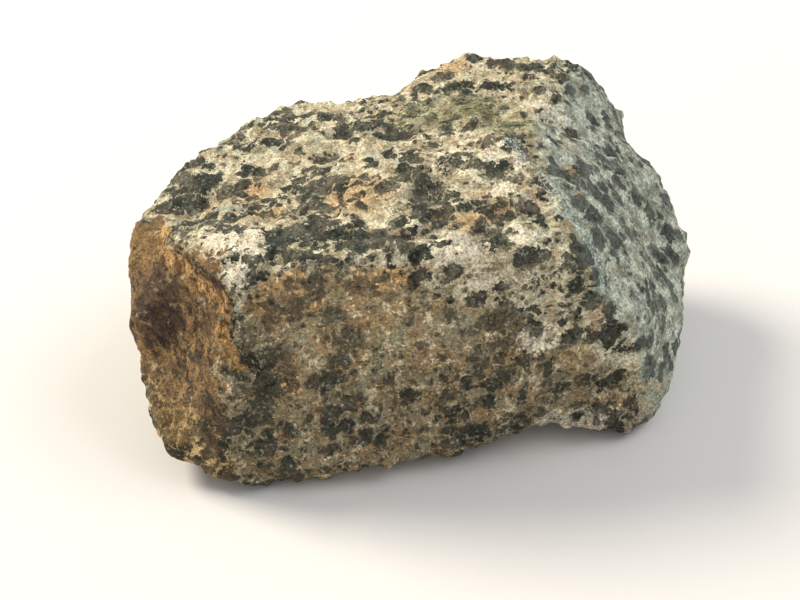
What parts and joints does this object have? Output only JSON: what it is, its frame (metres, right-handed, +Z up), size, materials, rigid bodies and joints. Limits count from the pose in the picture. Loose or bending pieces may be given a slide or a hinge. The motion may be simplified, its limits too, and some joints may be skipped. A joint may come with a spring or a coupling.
{
  "type": "norite hand specimen",
  "caption": "Broken block of coarse-grained dark and cream norite with a weathered rusty end, lying on its flattest side.",
  "frame": {"origin": "middle of the stone's bounding box, at the level of the surface it rests on", "axes": "+X along the stone's length towards the end that tapers to a point, +Z up as it lies, -Y towards its broad front face"},
  "size_m": [0.08, 0.0584, 0.0385],
  "materials": {
    "norite": "broken rough surface, cream feldspar and green-black pyroxene grains, rust stained at one end"
  },
  "bodies": {
    "root": {"norite_stone": "norite"}
  },
  "joints": []
}
